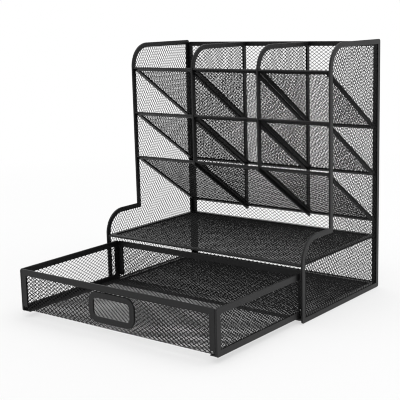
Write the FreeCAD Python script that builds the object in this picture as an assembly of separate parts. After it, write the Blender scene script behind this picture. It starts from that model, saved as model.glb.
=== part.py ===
import FreeCAD, Part
import math
import os

# A desk organizer of black steel mesh: two L-shaped side panels, a back, a shelf over a
# drawer bay, two dividers and three tiers of sloping pockets, with a drawer pulled out.
# Every panel is a sheet of mesh with a folded steel rim round its edge.
# Millimetres. X runs across, Y from the front to the rear, Z up from the desk.
# The origin is the middle of the whole footprint, with the drawer pulled out.

# The stand: its sides rise above the shelf at the front and stand tall at the rear
stand_width = 274.0
stand_height = 285.5
stand_depth = 167.0
tall_depth = 110.5
side_rise = 28.5
back_drop = 2.3
front_bend = 28.0

# The rims of the large panels
rim_width = 5.5
rim_thickness = 2.2
rim_corner = 2.6
fold_rounding = 0.7
groove_depth = 3.2

# The mesh sheets, which a rim's groove holds with a little play
mesh_thickness = 0.8
mesh_play = 0.1

# Coarse diamonds are cut in the flat sheets, in place of the mesh's own, which are finer
# than a solid should carry. Each opening has a length, a height and strands round it.
opening_length = 34.0
opening_height = 23.0
opening_strand = 2.8
small_opening_length = 20.0
small_opening_height = 13.5
small_opening_strand = 1.8
least_opening_share = 0.15

# The sloping pockets, of which the highest starts below the top of the sides
tiers = 3
columns = 3
pocket_below_top = 28.0
pocket_pitch = 53.5
pocket_drop = 72.0
pocket_rim_width = 5.4
pocket_rim_thickness = 2.2
pocket_groove_depth = 3.0
pocket_corner = 1.2

# The floor under the drawer, above the desk
floor_height = 2.8

# The drawer, its gaps in the stand when pushed in, and how much stays in when pulled out
drawer_height = 47.6
drawer_side_gap = 2.2
drawer_floor_gap = 0.6
drawer_top_gap = 7.1
drawer_back_gap = 8.8
drawer_left_inside = 14.5
drawer_rim_width = 6.6
pan_lift = 1.2
pan_fold = 3.0
post_gap = 0.5
lip_width = 8.0

# The handle, a flat ring round a finger hole in the drawer's front
handle_width = 62.0
handle_height = 32.0
handle_corner = 11.0
handle_rim = 6.2
handle_hole_corner = 5.0

# One overrun serves every cut
overrun = 5.0

tier_names = ["upper", "middle", "lower"]
column_names = ["left", "centre", "right"]
divider_names = ["left", "right"]

# Places that follow from the sizes
drawer_depth = stand_depth - rim_thickness - drawer_back_gap
drawer_pull = drawer_depth - drawer_left_inside
rear_y = (stand_depth + drawer_pull) / 2
front_y = rear_y - stand_depth
tall_front_y = rear_y - tall_depth
back_face_y = rear_y - rim_thickness
inner_width = stand_width - 2 * rim_thickness
back_height = stand_height - back_drop
column_width = (inner_width - (columns - 1) * rim_thickness) / columns
drawer_width = inner_width - 2 * drawer_side_gap
drawer_front_y = front_y - drawer_pull
drawer_bottom = floor_height + rim_thickness + drawer_floor_gap
shelf_height = drawer_bottom + drawer_height + drawer_top_gap
low_height = shelf_height + rim_thickness + side_rise
pocket_top = stand_height - pocket_below_top

# The patterns of openings, for the large sheets and for the small ones
large_openings = (opening_length, opening_height, opening_strand)
small_openings = (small_opening_length, small_opening_height, small_opening_strand)


def vector(x, y, z=0.0):
    return FreeCAD.Vector(x, y, z)


def inset(corners, distance):
    """The corners of a polygon, listed anticlockwise, moved inwards by a distance."""
    moved = []
    for i, corner in enumerate(corners):
        before = vector(*corner) - vector(*corners[i - 1])
        after = vector(*corners[(i + 1) % len(corners)]) - vector(*corner)
        before.normalize()
        after.normalize()
        inward_before = vector(-before.y, before.x)
        inward_after = vector(-after.y, after.x)
        reach = distance / (1 + inward_before.dot(inward_after))
        point = vector(*corner) + (inward_before + inward_after) * reach
        moved.append((point.x, point.y))
    return moved


def rounded_outline(corners, radii):
    """A closed wire through the corners, each rounded by its own radius."""
    edges = []
    starts = []
    ends = []
    middles = []
    for i, corner in enumerate(corners):
        here = vector(*corner)
        back = (vector(*corners[i - 1]) - here).normalize()
        ahead = (vector(*corners[(i + 1) % len(corners)]) - here).normalize()
        half_angle = back.getAngle(ahead) / 2
        setback = radii[i] / math.tan(half_angle)
        bisector = (back + ahead).normalize()
        to_arc = radii[i] / math.sin(half_angle) - radii[i]
        starts.append(here + back * setback)
        middles.append(here + bisector * to_arc)
        ends.append(here + ahead * setback)
    for i in range(len(corners)):
        if radii[i] > 0:
            edges.append(Part.Arc(starts[i], middles[i], ends[i]).toShape())
        edges.append(Part.makeLine(ends[i], starts[(i + 1) % len(corners)]))
    return Part.Wire(edges)


def inner_outline(corners, radii, distance):
    """An outline that lies a distance inside another, with its bends concentric."""
    smaller = [max(radius - distance, 0) for radius in radii]
    return rounded_outline(inset(corners, distance), smaller)


def plate(face, thickness):
    """A flat solid on a face in the XY plane, half its thickness above it and half below."""
    face.translate(vector(0, 0, -thickness / 2))
    return face.extrude(vector(0, 0, thickness))


def slab(corners, radii, thickness):
    return plate(Part.Face(rounded_outline(corners, radii)), thickness)


def inner_slab(corners, radii, distance, thickness):
    return plate(Part.Face(inner_outline(corners, radii, distance)), thickness)


def round_faces_edges(solid, thickness, rounding):
    """Rounds the edges that lie in a slab's two broad faces."""
    broad = []
    for edge in solid.Edges:
        box = edge.BoundBox
        flat = box.ZLength < thickness / 4
        if flat and abs(abs(box.ZMin + box.ZMax) - thickness) < thickness / 4:
            broad.append(edge)
    return solid.makeFillet(min(rounding, thickness / 2.5), broad)


def rim(corners, radii, width, thickness, depth):
    """A folded strip round an outline, with a groove inside for the edge of the mesh."""
    outer = round_faces_edges(slab(corners, radii, thickness), thickness, fold_rounding)
    window = inner_slab(corners, radii, width, thickness + 2 * overrun)
    groove = inner_slab(corners, radii, width - depth, mesh_thickness + 2 * mesh_play)
    return outer.cut(window).cut(groove)


def diamond(x, y, across, up, strand):
    """A diamond round a point, drawn in by half a strand on every side."""
    corners = [(x - across / 2, y), (x, y - up / 2), (x + across / 2, y), (x, y + up / 2)]
    points = [vector(*corner) for corner in inset(corners, strand / 2)]
    return Part.Face(Part.makePolygon(points + [points[0]]))


def openings(window, pattern, upright):
    """The outlines of diamonds in offset rows over a flat window, cut off at its edge.

    They lie lengthwise unless they are upright, a whole number fits each way, and the
    smallest scraps at the edge stay closed."""
    length, height, strand = pattern
    across, up = (height, length) if upright else (length, height)
    box = window.BoundBox
    columns_fitted = max(round(box.XLength / across), 1)
    rows_fitted = max(round(box.YLength / up), 1)
    across = box.XLength / columns_fitted
    up = box.YLength / rows_fitted
    diamonds = []
    for i in range(2 * columns_fitted + 1):
        for j in range(2 * rows_fitted + 1):
            if (i + j) % 2:
                x = box.XMin + i * across / 2
                y = box.YMin + j * up / 2
                diamonds.append(diamond(x, y, across, up, strand))
    cut_off = window.common(Part.makeCompound(diamonds))
    least = least_opening_share * diamonds[0].Area
    return [face.OuterWire for face in cut_off.Faces if face.Area > least]


def sheet(corners, radii, width, depth, pattern, upright):
    """The mesh that fills a rim and reaches into its groove."""
    edge = inner_outline(corners, radii, width - depth + mesh_play)
    window = Part.Face(inner_outline(corners, radii, width))
    holes = openings(window, pattern, upright)
    return plate(Part.makeFace([edge] + holes, "Part::FaceMakerBullseye"), mesh_thickness)


def export(name, solid):
    solid.exportStep("parts/" + name + ".step")


def carried(solid, place):
    """A copy of a solid drawn at the origin, carried to its place."""
    moved = solid.copy()
    moved.Placement = place.multiply(moved.Placement)
    return moved


def panel(corners, radii, width=rim_width, thickness=rim_thickness, depth=groove_depth,
          pattern=large_openings, upright=False):
    """A panel's rim and its mesh, drawn in the XY plane."""
    frame = rim(corners, radii, width, thickness, depth)
    mesh = sheet(corners, radii, width, depth, pattern, upright)
    return frame, mesh


def export_panel(name, pieces, place):
    """Writes a copy of a panel's rim and mesh, carried to its place."""
    frame, mesh = pieces
    export(name + "_frame", carried(frame, place))
    export(name + "_mesh", carried(mesh, place))


def rectangle(width, height):
    """The corners of a rectangle from the origin."""
    return [(0, 0), (width, 0), (width, height), (0, height)]


# A panel drawn in X and Y is stood upright by these: its X then runs along Y or along X.
stood_along_y = FreeCAD.Rotation(vector(0, 1, 0), vector(0, 0, 1), vector(1, 0, 0), "XYZ")
stood_along_x = FreeCAD.Rotation(vector(1, 0, 0), vector(0, 0, 1), vector(0, -1, 0), "XYZ")
lying = FreeCAD.Rotation()


def placed(x, y, z, rotation):
    return FreeCAD.Placement(vector(x, y, z), rotation)


def side_panels():
    """The L-shaped sides: tall at the rear, low at the front, with big front bends."""
    step = stand_depth - tall_depth
    corners = [
        (0, 0),
        (stand_depth, 0),
        (stand_depth, stand_height),
        (step, stand_height),
        (step, low_height),
        (0, low_height),
    ]
    radii = [rim_corner, rim_corner, rim_corner, front_bend, 0, front_bend]
    pieces = panel(corners, radii, upright=True)
    middle_x = stand_width / 2 - rim_thickness / 2
    for name, side in (("left", -1), ("right", 1)):
        place = placed(side * middle_x, front_y, 0, stood_along_y)
        export_panel(name + "_side", pieces, place)


def back_panel():
    corners = rectangle(inner_width, back_height)
    radii = [rim_corner] * len(corners)
    middle_y = rear_y - rim_thickness / 2
    place = placed(-inner_width / 2, middle_y, 0, stood_along_x)
    export_panel("back", panel(corners, radii), place)


def level_panels():
    """The shelf and the floor, level between the sides, from the front to the back panel."""
    corners = rectangle(inner_width, back_face_y - front_y)
    pieces = panel(corners, [rim_corner] * len(corners))
    for name, underside in (("shelf", shelf_height), ("floor", floor_height)):
        middle_z = underside + rim_thickness / 2
        export_panel(name, pieces, placed(-inner_width / 2, front_y, middle_z, lying))


def pocket_slope():
    """The slope of the pockets as an angle, from their depth and their drop."""
    return math.atan2(pocket_drop, back_face_y - tall_front_y)


def dividers():
    """Upright sheets between the columns, cut off below along the lowest pockets."""
    run = back_face_y - tall_front_y
    foot_front = pocket_top - (tiers - 1) * pocket_pitch - pocket_rim_width
    foot_rear = foot_front - pocket_drop
    corners = [(0, foot_front), (run, foot_rear), (run, back_height), (0, back_height)]
    radii = [pocket_corner, pocket_corner, rim_corner, front_bend]
    pieces = panel(corners, radii, pattern=small_openings, upright=True)
    for i in range(1, columns):
        left_x = -inner_width / 2 + i * column_width + (i - 1) * rim_thickness
        place = placed(left_x + rim_thickness / 2, tall_front_y, 0, stood_along_y)
        export_panel(divider_names[i - 1] + "_divider", pieces, place)


def pockets():
    """Three tiers of sheets that slope down to the back, one in each column."""
    slope = pocket_slope()
    lean = pocket_rim_thickness / 2 * math.sin(slope)
    run = back_face_y - tall_front_y - 2 * lean
    length = run / math.cos(slope)
    corners = rectangle(column_width, length)
    pieces = panel(corners, [pocket_corner] * len(corners), pocket_rim_width,
                   pocket_rim_thickness, pocket_groove_depth, small_openings)
    tilt = FreeCAD.Rotation(vector(1, 0, 0), -math.degrees(slope))
    rise = pocket_rim_thickness / 2 * math.cos(slope)
    for tier in range(tiers):
        front_z = pocket_top - tier * pocket_pitch - rise
        for column in range(columns):
            left_x = -inner_width / 2 + column * (column_width + rim_thickness)
            name = tier_names[tier] + "_" + column_names[column] + "_pocket"
            place = placed(left_x, tall_front_y + lean, front_z, tilt)
            export_panel(name, pieces, place)


def drawer_lip(side):
    """A lip along the foot of a side's rim, folded inwards under the drawer's floor."""
    length = drawer_depth - 2 * rim_corner
    lip = Part.makeBox(length, pan_lift - mesh_play, lip_width + rim_thickness / 2)
    inward = 0 if side < 0 else -lip_width - rim_thickness / 2
    lip.translate(vector(rim_corner, 0, inward))
    return lip


def drawer_sides():
    """The drawer's sides, whose rims carry its floor on a lip."""
    corners = rectangle(drawer_depth, drawer_height)
    frame, mesh = panel(corners, [rim_corner] * len(corners), drawer_rim_width,
                        pattern=small_openings)
    middle_x = drawer_width / 2 - rim_thickness / 2
    for name, side in (("left", -1), ("right", 1)):
        place = placed(side * middle_x, drawer_front_y, drawer_bottom, stood_along_y)
        pieces = frame.fuse(drawer_lip(side)).removeSplitter(), mesh
        export_panel("drawer_" + name, pieces, place)


def drawer_end_rims():
    """Rims along the top and down both ends of the drawer's front and back walls."""
    width = drawer_width - 2 * rim_thickness
    foot = pan_lift + mesh_thickness + pan_fold + post_gap
    height = drawer_height - foot
    corners = rectangle(width, height)
    radii = [0, 0, rim_corner, rim_corner]
    outer = round_faces_edges(slab(corners, radii, rim_thickness), rim_thickness, fold_rounding)
    window = slab(open_below(width, height, drawer_rim_width), [0] * 4,
                  rim_thickness + 2 * overrun)
    groove = slab(open_below(width, height, drawer_rim_width - groove_depth), [0] * 4,
                  mesh_thickness + 2 * mesh_play)
    end_rim = outer.cut(window).cut(groove)
    for name, middle_y in drawer_wall_planes():
        place = placed(-width / 2, middle_y, drawer_bottom + foot, stood_along_x)
        export("drawer_" + name + "_rim", carried(end_rim, place))


def open_below(width, height, edge):
    """A rectangle inset at its top and sides that runs out past its lower edge."""
    return [(edge, -overrun), (width - edge, -overrun), (width - edge, height - edge),
            (edge, height - edge)]


def drawer_wall_planes():
    """The middle planes of the drawer's front and back walls."""
    return (
        ("front", drawer_front_y + rim_thickness / 2),
        ("back", drawer_front_y + drawer_depth - rim_thickness / 2),
    )


def handle_slab(distance, thickness):
    """The handle's outline, or one that lies a distance inside it, as a flat solid."""
    corners = rectangle(handle_width, handle_height)
    solid = inner_slab(corners, [handle_corner] * len(corners), distance, thickness)
    solid.translate(vector(-handle_width / 2, -handle_height / 2))
    return solid


def handle_place():
    middle_y = drawer_wall_planes()[0][1]
    return placed(0, middle_y, drawer_bottom + drawer_height / 2, stood_along_x)


def handle_ring():
    """A flat ring whose groove, open outwards, holds the mesh round the finger hole."""
    outer = round_faces_edges(handle_slab(0, rim_thickness), rim_thickness, fold_rounding)
    hole_corners = inset(rectangle(handle_width, handle_height), handle_rim)
    hole = slab(hole_corners, [handle_hole_corner] * len(hole_corners),
                rim_thickness + 2 * overrun)
    hole.translate(vector(-handle_width / 2, -handle_height / 2))
    groove_thickness = mesh_thickness + 2 * mesh_play
    groove = handle_slab(0, groove_thickness).cut(handle_slab(groove_depth, groove_thickness))
    ring = outer.cut(hole).cut(groove)
    export("handle_ring", carried(ring, handle_place()))


def drawer_pan():
    """One sheet of mesh folded up at the front and the back, with the finger hole cut."""
    width = drawer_width - 2 * rim_thickness - 2 * mesh_play
    wall_inset = (rim_thickness - mesh_thickness) / 2
    depth = drawer_depth - 2 * wall_inset
    bottom = drawer_bottom + pan_lift
    top = drawer_bottom + drawer_height - (drawer_rim_width - groove_depth) - mesh_play
    corners = rectangle(depth, 2 * (top - bottom))
    folds = [pan_fold + mesh_thickness] * len(corners)
    outer = slab(corners, folds, width)
    inner = inner_slab(corners, folds, mesh_thickness, width + 2 * overrun)
    place = placed(0, drawer_front_y + wall_inset, bottom, stood_along_y)
    tube = carried(outer.cut(inner), place)
    upper = Part.makeBox(width + 2 * overrun, depth + 2 * overrun, 2 * drawer_height)
    upper.translate(vector(-width / 2 - overrun, drawer_front_y - overrun, top))
    pan = tube.cut(upper)
    post_foot = drawer_bottom + pan_lift + mesh_thickness + pan_fold + post_gap
    reach = drawer_width / 2 - rim_thickness - (drawer_rim_width - groove_depth) - mesh_play
    for side in (-1, 1):
        trim = Part.makeBox(2 * overrun, depth + 2 * overrun, 2 * drawer_height)
        left_x = reach if side > 0 else -reach - 2 * overrun
        trim.translate(vector(left_x, drawer_front_y - overrun, post_foot - mesh_play))
        pan = pan.cut(trim)
    hole = carried(handle_slab(groove_depth - mesh_play, 2 * overrun), handle_place())
    export("drawer_pan_mesh", pan.cut(hole))


os.makedirs("parts", exist_ok=True)
side_panels()
back_panel()
level_panels()
dividers()
pockets()
drawer_sides()
drawer_end_rims()
drawer_pan()
handle_ring()
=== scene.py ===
import math

import bmesh
import bpy
from mathutils import Matrix, Vector


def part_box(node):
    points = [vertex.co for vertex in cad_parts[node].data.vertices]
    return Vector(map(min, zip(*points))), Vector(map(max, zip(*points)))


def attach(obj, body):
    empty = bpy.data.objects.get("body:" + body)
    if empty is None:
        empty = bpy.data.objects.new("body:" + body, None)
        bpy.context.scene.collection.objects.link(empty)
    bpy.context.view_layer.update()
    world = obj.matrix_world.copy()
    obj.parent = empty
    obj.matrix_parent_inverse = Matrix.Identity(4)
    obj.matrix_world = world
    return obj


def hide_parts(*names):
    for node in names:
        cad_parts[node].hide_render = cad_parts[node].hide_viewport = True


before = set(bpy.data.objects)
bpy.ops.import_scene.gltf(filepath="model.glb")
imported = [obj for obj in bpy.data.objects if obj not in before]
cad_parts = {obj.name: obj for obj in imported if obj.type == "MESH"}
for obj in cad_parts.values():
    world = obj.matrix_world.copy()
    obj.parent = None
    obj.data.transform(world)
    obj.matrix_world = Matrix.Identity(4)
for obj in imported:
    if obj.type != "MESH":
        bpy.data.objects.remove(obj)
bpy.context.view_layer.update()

# Sizes in metres, from real ones in millimetres
mm = 0.001

# The expanded steel mesh: the two diagonals of a diamond
diamond_long = 6.15 * mm
diamond_short = 4.1 * mm

# Each sheet's strands: their width, their thickness and the lean that the press gave them.
# A lean below zero faces the other way.
side_strand = (0.44 * mm, 0.45 * mm, math.radians(6))
back_strand = (0.39 * mm, 0.40 * mm, math.radians(10))
divider_strand = (0.40 * mm, 0.40 * mm, math.radians(5))
high_pocket_strand = (0.35 * mm, 0.38 * mm, math.radians(12))
low_pocket_strand = (0.33 * mm, 0.38 * mm, math.radians(10))
shelf_strand = (0.37 * mm, 0.35 * mm, math.radians(-9.5))
floor_strand = (0.43 * mm, 0.38 * mm, math.radians(-13))
drawer_strand = (0.40 * mm, 0.35 * mm, math.radians(8))
pan_strand = (0.69 * mm, 0.35 * mm, math.radians(7.5))

# The large panels' outlines, over their rims
tall_depth = 110.5 * mm
low_height = 91.0 * mm
front_bend = 28.0 * mm
rim_width = 5.5 * mm
pocket_drop = 72.0 * mm

# The solids' sheets are this thick, and stop this far inside their rims' outer edges
sheet_thickness = 0.8 * mm
sheet_in_rim = 3.1 * mm
sheet_inset = rim_width - sheet_in_rim

# The drawer's folded sheet and its handle
pan_fold = 3.0 * mm
handle_corner = 11.0 * mm
handle_hole_in_ring = 3.1 * mm

# How finely bends are drawn, and how close two points are before they are one
arc_steps = 8
fold_steps = 4
join_distance = 0.01 * mm

# The powder coat's black, and how its sheen drifts from patch to patch
coat_black = "#121213"
sheen_drift = 0.04
sheen_patch = 40 * mm


def linear(hex_colour):
    """An sRGB hex colour as linear red, green, blue and alpha."""
    channels = [int(hex_colour[i:i + 2], 16) / 255 for i in (1, 3, 5)]
    straight = [c / 12.92 if c <= 0.04045 else ((c + 0.055) / 1.055) ** 2.4
                for c in channels]
    return (*straight, 1.0)


def add_node(owner, kind, inputs=(), **settings):
    """Adds a node to a material or to the world, sets it and fills its sockets with values
    or with links."""
    tree = owner.node_tree
    node = tree.nodes.new(kind)
    for name, value in settings.items():
        setattr(node, name, value)
    for name, value in dict(inputs).items():
        if isinstance(value, bpy.types.NodeSocket):
            tree.links.new(value, node.inputs[name])
        else:
            node.inputs[name].default_value = value
    return node


def new_material(name):
    material = bpy.data.materials.new(name)
    material.use_nodes = True
    material.node_tree.nodes.clear()
    return material


def powder_coat(name, roughness, ior, peel_size, peel_height):
    """Satin black polyester powder coat, baked on steel: an even black with a soft sheen
    and the faint ripple called orange peel."""
    material = new_material(name)
    place = add_node(material, "ShaderNodeTexCoord").outputs["Object"]
    peel = add_node(material, "ShaderNodeTexNoise",
                    {"Vector": place, "Scale": 1 / peel_size, "Detail": 2.0,
                     "Roughness": 0.4})
    patches = add_node(material, "ShaderNodeTexNoise",
                       {"Vector": place, "Scale": 1 / sheen_patch, "Detail": 3.0})
    sheen = add_node(material, "ShaderNodeMapRange",
                     {"Value": patches.outputs["Fac"], "From Min": 0.3, "From Max": 0.7,
                      "To Min": roughness - sheen_drift,
                      "To Max": roughness + sheen_drift})
    ripple = add_node(material, "ShaderNodeBump",
                      {"Height": peel.outputs["Fac"], "Strength": 1.0,
                       "Distance": peel_height})
    paint = add_node(material, "ShaderNodeBsdfPrincipled",
                     {"Base Color": linear(coat_black), "IOR": ior,
                      "Roughness": sheen.outputs["Result"],
                      "Normal": ripple.outputs["Normal"]})
    add_node(material, "ShaderNodeOutputMaterial", {"Surface": paint.outputs["BSDF"]})
    return material


# The coat lies smooth and a little glossier on the rims, and thin and dull on the strands
rim_coat = powder_coat("satin_black_powder_coat_rim", roughness=0.42, ior=1.37,
                       peel_size=1.4 * mm, peel_height=0.02 * mm)
mesh_coat = powder_coat("satin_black_powder_coat_mesh", roughness=0.58, ior=1.3,
                        peel_size=0.9 * mm, peel_height=0.01 * mm)


def clip(bm, point, outward):
    """Cuts off what lies past a plane."""
    everything = bm.verts[:] + bm.edges[:] + bm.faces[:]
    bmesh.ops.bisect_plane(bm, geom=everything, dist=join_distance, plane_co=point,
                           plane_no=outward, clear_outer=True)


def clip_to_outline(bm, corners, radii=(0, 0, 0, 0)):
    """Cuts a flat sheet to a convex outline, listed anticlockwise, with rounded corners."""
    for i, corner in enumerate(corners):
        here = Vector((*corner, 0))
        ahead = (Vector((*corners[(i + 1) % len(corners)], 0)) - here).normalized()
        back = (Vector((*corners[i - 1], 0)) - here).normalized()
        outward = Vector((ahead.y, -ahead.x, 0))
        clip(bm, here, outward)
        if radii[i] == 0:
            continue
        half_angle = back.angle(ahead) / 2
        centre = here + (back + ahead).normalized() * radii[i] / math.sin(half_angle)
        first = Vector((-back.y, back.x, 0))
        for step in range(1, arc_steps):
            turned = first.slerp(outward, step / arc_steps)
            clip(bm, centre + turned * radii[i], turned)


def diamond_lattice(width, height, upright, strand):
    """Flat expanded mesh over a rectangle from the origin: slit sheet pulled open into
    diamonds, whose strands all lean the same way. Upright diamonds are taller than wide."""
    strand_width, _, strand_lean = strand
    across, up = (diamond_short, diamond_long) if upright else (diamond_long, diamond_short)

    # A square grid, turned to stand on a corner and stretched, with two rows to spare
    count = math.ceil(width / across + height / up) + 2
    bm = bmesh.new()
    bmesh.ops.create_grid(bm, x_segments=count, y_segments=count, size=count / 2)
    turn = Matrix.Rotation(math.radians(45), 4, "Z")
    stretch = Matrix.Diagonal((across / math.sqrt(2), up / math.sqrt(2), 1, 1))
    centre = Matrix.Translation((width / 2, height / 2, 0))
    bmesh.ops.transform(bm, matrix=centre @ stretch @ turn, verts=bm.verts)
    outside = []
    for face in bm.faces:
        middle = face.calc_center_median()
        if abs(middle.x - width / 2) > width / 2 + across or abs(
                middle.y - height / 2) > height / 2 + up:
            outside.append(face)
    bmesh.ops.delete(bm, geom=outside, context="FACES")

    # Each diamond is opened, and its edge tips out of the sheet to lean the strands
    openings = bm.faces[:]
    bmesh.ops.inset_individual(bm, faces=openings, thickness=strand_width / 2,
                               use_even_offset=True)
    for face in openings:
        middle = face.calc_center_median()
        for vert in face.verts:
            reach = vert.co.x - middle.x if upright else vert.co.y - middle.y
            vert.co.z += reach * math.tan(strand_lean)
    bmesh.ops.delete(bm, geom=openings, context="FACES")
    return bm


def rectangle(width, height):
    return [(0, 0), (width, 0), (width, height), (0, height)]


def finish_piece(bm, strand, name, place, body, *nodes):
    """Carries a flat sheet to its place and gives its strands their thickness."""
    _, strand_thickness, _ = strand
    bmesh.ops.transform(bm, matrix=place, verts=bm.verts)
    data = bpy.data.meshes.new(name)
    bm.to_mesh(data)
    piece = bpy.data.objects.new(name, data)
    bpy.context.scene.collection.objects.link(piece)
    data.materials.append(mesh_coat)
    wall = piece.modifiers.new("strand", "SOLIDIFY")
    wall.thickness = strand_thickness
    wall.offset = 0.0
    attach(piece, body)
    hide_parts(*nodes)
    return piece


def plane(origin, along, up):
    """A matrix that carries the XY plane to an origin and two directions."""
    along, up = Vector(along), Vector(up)
    square = Matrix((along, up, along.cross(up))).transposed()
    return Matrix.Translation(origin) @ square.to_4x4()


x_way, y_way, z_way = (1, 0, 0), (0, 1, 0), (0, 0, 1)


def side_meshes():
    """The L-shaped sides, as a tall sheet and a low one from a single lattice."""
    low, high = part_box("left_side_mesh")
    width, height = high.y - low.y, high.z - low.z
    step = width - (tall_depth - 2 * sheet_inset)
    shoulder = low_height - 2 * sheet_inset
    bend = front_bend - sheet_inset
    lattice = diamond_lattice(width, height, True, side_strand)
    front = lattice.copy()
    clip_to_outline(lattice, [(step, 0), (width, 0), (width, height), (step, height)],
                    [0, 0, 0, bend])
    clip_to_outline(front, [(0, 0), (step, 0), (step, shoulder), (0, shoulder)],
                    [0, 0, 0, bend])
    data = bpy.data.meshes.new("front_part")
    front.to_mesh(data)
    lattice.from_mesh(data)
    bpy.data.meshes.remove(data)
    bmesh.ops.remove_doubles(lattice, verts=lattice.verts, dist=join_distance)
    for side in ("left", "right"):
        node = side + "_side_mesh"
        low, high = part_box(node)
        place = plane(((low.x + high.x) / 2, low.y, low.z), y_way, z_way)
        finish_piece(lattice.copy(), side_strand, side + "_side_diamonds", place, "stand",
                     node)


def back_mesh():
    low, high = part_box("back_mesh")
    width, height = high.x - low.x, high.z - low.z
    lattice = diamond_lattice(width, height, False, back_strand)
    clip_to_outline(lattice, rectangle(width, height))
    place = plane((low.x, (low.y + high.y) / 2, low.z), x_way, z_way)
    finish_piece(lattice, back_strand, "back_diamonds", place, "stand", "back_mesh")


def level_meshes():
    """The shelf over the drawer and the floor under it."""
    for name, strand in (("shelf", shelf_strand), ("floor", floor_strand)):
        low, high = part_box(name + "_mesh")
        width, depth = high.x - low.x, high.y - low.y
        lattice = diamond_lattice(width, depth, False, strand)
        clip_to_outline(lattice, rectangle(width, depth))
        place = plane((low.x, low.y, (low.z + high.z) / 2), x_way, y_way)
        finish_piece(lattice, strand, name + "_diamonds", place, "stand", name + "_mesh")


def pocket_slope():
    """The angle at which the pockets fall to the back, from their drop and their depth."""
    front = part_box("left_divider_frame")[0].y
    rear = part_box("back_frame")[0].y
    return math.atan2(pocket_drop, rear - front)


def divider_meshes():
    """The two dividers, whose foot slopes along the lowest pockets."""
    low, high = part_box("left_divider_mesh")
    width, height = high.y - low.y, high.z - low.z
    foot = width * math.tan(pocket_slope())
    bend = front_bend - sheet_inset
    lattice = diamond_lattice(width, height, False, divider_strand)
    clip_to_outline(lattice, [(0, foot), (width, 0), (width, height), (0, height)],
                    [0, 0, 0, bend])
    for side in ("left", "right"):
        node = side + "_divider_mesh"
        low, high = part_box(node)
        place = plane(((low.x + high.x) / 2, low.y, low.z), y_way, z_way)
        finish_piece(lattice.copy(), divider_strand, side + "_divider_diamonds", place,
                     "stand", node)


def pocket_meshes():
    """Nine sheets that slope down to the back, each from its solid's box and the slope.

    The diamonds run down the slope in the two higher tiers, and across it in the lowest."""
    slope = pocket_slope()
    low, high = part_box("upper_left_pocket_mesh")
    width = high.x - low.x
    length = (high.y - low.y - sheet_thickness * math.sin(slope)) / math.cos(slope)
    down = (0, math.cos(slope), -math.sin(slope))
    for tier, downhill, strand in (("upper", True, high_pocket_strand),
                                   ("middle", True, high_pocket_strand),
                                   ("lower", False, low_pocket_strand)):
        lattice = diamond_lattice(width, length, downhill, strand)
        clip_to_outline(lattice, rectangle(width, length))
        for column in ("left", "centre", "right"):
            name = tier + "_" + column + "_pocket"
            low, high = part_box(name + "_mesh")
            start = (low.x, low.y + sheet_thickness / 2 * math.sin(slope),
                     high.z - sheet_thickness / 2 * math.cos(slope))
            place = plane(start, x_way, down)
            finish_piece(lattice.copy(), strand, name + "_diamonds", place, "stand",
                         name + "_mesh")


def drawer_side_meshes():
    low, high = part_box("drawer_left_mesh")
    width, height = high.y - low.y, high.z - low.z
    lattice = diamond_lattice(width, height, False, drawer_strand)
    clip_to_outline(lattice, rectangle(width, height))
    for side in ("left", "right"):
        node = "drawer_" + side + "_mesh"
        low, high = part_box(node)
        place = plane(((low.x + high.x) / 2, low.y, low.z), y_way, z_way)
        finish_piece(lattice.copy(), drawer_strand, "drawer_" + side + "_diamonds", place,
                     "drawer", node)


def in_handle_hole(point, centre, ring_low, ring_high):
    """Whether a point of the drawer's front lies in the hole under the handle's ring."""
    half_width = (ring_high.x - ring_low.x) / 2 - handle_hole_in_ring
    half_height = (ring_high.z - ring_low.z) / 2 - handle_hole_in_ring
    corner = handle_corner - handle_hole_in_ring
    past_x = max(abs(point.x - centre[0]) - (half_width - corner), 0)
    past_y = max(abs(point.y - centre[1]) - (half_height - corner), 0)
    return math.hypot(past_x, past_y) < corner


def folded(distance, rise, depth, height, radius):
    """Where a point of the flat sheet goes once the sheet is folded up at both ends.

    The distance runs from the top of the front wall, and the rise is out of the sheet."""
    wall = height - radius
    arc = radius * math.pi / 2
    floor = depth - 2 * radius
    if distance < wall:
        return rise, height - distance
    if distance < wall + arc:
        angle = (distance - wall) / radius
        reach = radius - rise
        return radius - reach * math.cos(angle), radius - reach * math.sin(angle)
    if distance < wall + arc + floor:
        return radius + distance - wall - arc, rise
    along, up = folded(2 * wall + 2 * arc + floor - distance, rise, depth, height, radius)
    return depth - along, up


def drawer_pan():
    """One sheet of mesh, its hole cut while flat, then folded up at the front and back."""
    low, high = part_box("drawer_pan_mesh")
    ring_low, ring_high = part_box("handle_ring")
    radius = pan_fold + sheet_thickness / 2
    width = high.x - low.x
    depth = high.y - low.y - sheet_thickness
    height = high.z - low.z - sheet_thickness / 2
    wall = height - radius
    length = 2 * wall + depth - 2 * radius + math.pi * radius
    lattice = diamond_lattice(width, length, False, pan_strand)
    clip_to_outline(lattice, rectangle(width, length))
    hole = (width / 2, high.z - (ring_low.z + ring_high.z) / 2)
    cut = [f for f in lattice.faces
           if in_handle_hole(f.calc_center_median(), hole, ring_low, ring_high)]
    bmesh.ops.delete(lattice, geom=cut, context="FACES")
    for start in (wall, length - wall - math.pi * radius / 2):
        for step in range(fold_steps + 1):
            everything = lattice.verts[:] + lattice.edges[:] + lattice.faces[:]
            crease = start + step / fold_steps * math.pi * radius / 2
            bmesh.ops.bisect_plane(lattice, geom=everything, dist=join_distance,
                                   plane_co=(0, crease, 0), plane_no=y_way)
    for vert in lattice.verts:
        y, z = folded(vert.co.y, -vert.co.z, depth, height, radius)
        vert.co = (vert.co.x, y, z)
    place = Matrix.Translation((low.x, low.y + sheet_thickness / 2,
                                low.z + sheet_thickness / 2))
    finish_piece(lattice, pan_strand, "drawer_pan_diamonds", place, "drawer",
                 "drawer_pan_mesh")


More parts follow.
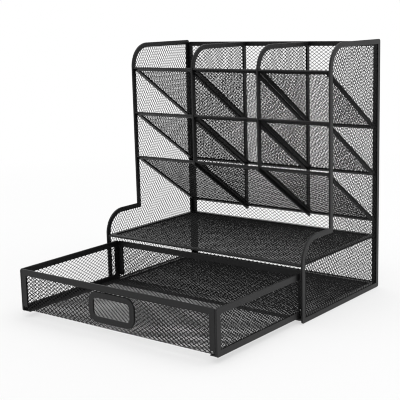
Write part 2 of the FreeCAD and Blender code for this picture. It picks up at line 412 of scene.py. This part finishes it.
def coat_the_rims():
    """The rims and the ring keep their solids, under the powder coat."""
    for name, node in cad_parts.items():
        if not name.endswith("_mesh"):
            node.data.materials.clear()
            node.data.materials.append(rim_coat)


# The room is bright behind and to the right of the object, and dark in front on the left.
# It goes from dark to bright between these two measures of how far a direction faces that
# bright side.
bright_side = Vector((0.55, 0.65, 0.52))
dark_room = 0.3
bright_room = 0.9
dark_facing = -0.7
bright_facing = 0.5

# The paper floor keeps the object's shadow near it, and fades into plain white further off
paper_white = 0.92
near_floor = 0.35
far_floor = 1.2
near_lift = 0.6
floor_size = 20.0
floor_below_feet = 0.5 * mm

# The lamp is aimed at the object's middle
lamp_aim = Vector((0, 0, 120)) * mm


def background_rays(owner):
    """One for the rays that show the background, be it straight, mirrored or through
    glass, and zero for those that light the object."""
    paths = add_node(owner, "ShaderNodeLightPath")
    mirrored = add_node(owner, "ShaderNodeMath",
                        {0: paths.outputs["Is Glossy Ray"],
                         1: paths.outputs["Is Transmission Ray"]}, operation="MAXIMUM")
    seen = add_node(owner, "ShaderNodeMath",
                    {0: paths.outputs["Is Camera Ray"], 1: mirrored.outputs["Value"]},
                    operation="MAXIMUM")
    return seen.outputs["Value"]


def paper_floor():
    """A white sheet under the object, matt, with a soft shadow on it."""
    bpy.ops.mesh.primitive_plane_add(size=floor_size, location=(0, 0, -floor_below_feet))
    ground = bpy.context.object
    ground.name = "studio_floor"
    material = new_material("white_paper_floor")
    place = add_node(material, "ShaderNodeTexCoord").outputs["Object"]
    away = add_node(material, "ShaderNodeVectorMath", {0: place}, operation="LENGTH")
    fade = add_node(material, "ShaderNodeMapRange",
                    {"Value": away.outputs["Value"], "From Min": near_floor,
                     "From Max": far_floor, "To Min": near_lift, "To Max": 1.0})
    lift = add_node(material, "ShaderNodeMath",
                    {0: background_rays(material), 1: fade.outputs["Result"]},
                    operation="MULTIPLY")
    paper = add_node(material, "ShaderNodeBsdfDiffuse",
                     {"Color": (paper_white, paper_white, paper_white, 1)})
    glow = add_node(material, "ShaderNodeEmission",
                    {"Color": (1, 1, 1, 1), "Strength": 1.0})
    both = add_node(material, "ShaderNodeMixShader",
                    {"Fac": lift.outputs["Value"], 1: paper.outputs["BSDF"],
                     2: glow.outputs["Emission"]})
    add_node(material, "ShaderNodeOutputMaterial", {"Surface": both.outputs["Shader"]})
    ground.data.materials.append(material)


def room():
    """Soft light from all round, and plain white behind the object."""
    world = bpy.data.worlds.new("studio_sky")
    world.use_nodes = True
    bpy.context.scene.world = world
    world.node_tree.nodes.clear()
    direction = add_node(world, "ShaderNodeTexCoord").outputs["Generated"]
    facing = add_node(world, "ShaderNodeVectorMath", {0: direction, 1: bright_side},
                      operation="DOT_PRODUCT")
    light = add_node(world, "ShaderNodeMapRange",
                     {"Value": facing.outputs["Value"], "From Min": dark_facing,
                      "From Max": bright_facing, "To Min": dark_room,
                      "To Max": bright_room})
    strength = add_node(world, "ShaderNodeMapRange",
                        {"Value": background_rays(world),
                         "To Min": light.outputs["Result"], "To Max": 1.0})
    sky = add_node(world, "ShaderNodeBackground",
                   {"Color": (1, 1, 1, 1), "Strength": strength.outputs["Result"]})
    add_node(world, "ShaderNodeOutputWorld", {"Surface": sky.outputs["Background"]})


def direction_to(azimuth, elevation):
    """The way from the object to what stands round to the right by an azimuth from its
    front, and up by an elevation, both in degrees."""
    a, e = math.radians(azimuth), math.radians(elevation)
    return Vector((math.sin(a) * math.cos(e), -math.cos(a) * math.cos(e), math.sin(e)))


def lamp(name, azimuth, elevation, distance, size, power):
    """A square soft light, aimed at the object from a direction."""
    away = direction_to(azimuth, elevation)
    data = bpy.data.lights.new(name, "AREA")
    data.size = size
    data.energy = power
    light = bpy.data.objects.new(name, data)
    light.location = lamp_aim + away * distance
    light.rotation_euler = away.to_track_quat("Z", "Y").to_euler()
    bpy.context.scene.collection.objects.link(light)


def camera():
    """The photograph's view: from the front right, a little above, with a slight roll."""
    away = direction_to(38.07, 11.01)
    roll = math.radians(-1.56)
    looks_at = Vector((-15.5, 15.4, 111.4)) * mm
    distance = 1090.7 * mm
    focal_length_in_mm = 86.8
    farthest_seen = 50.0
    data = bpy.data.cameras.new("camera")
    data.lens = focal_length_in_mm
    data.clip_end = farthest_seen
    view = bpy.data.objects.new("camera", data)
    upright = away.to_track_quat("Z", "Y").to_matrix().to_4x4()
    view.matrix_world = (Matrix.Translation(looks_at + away * distance) @ upright
                         @ Matrix.Rotation(roll, 4, "Z"))
    bpy.context.scene.collection.objects.link(view)
    bpy.context.scene.camera = view


camera()
paper_floor()
room()
lamp("overhead", azimuth=150, elevation=80, distance=1.6, size=1.6, power=12)
side_meshes()
back_mesh()
level_meshes()
divider_meshes()
pocket_meshes()
drawer_side_meshes()
drawer_pan()
coat_the_rims()
bpy.context.scene.view_settings.view_transform = "Standard"
# The diamonds are about three pixels wide, so a narrower pixel filter keeps them crisp
bpy.context.scene.cycles.filter_width = 1.1
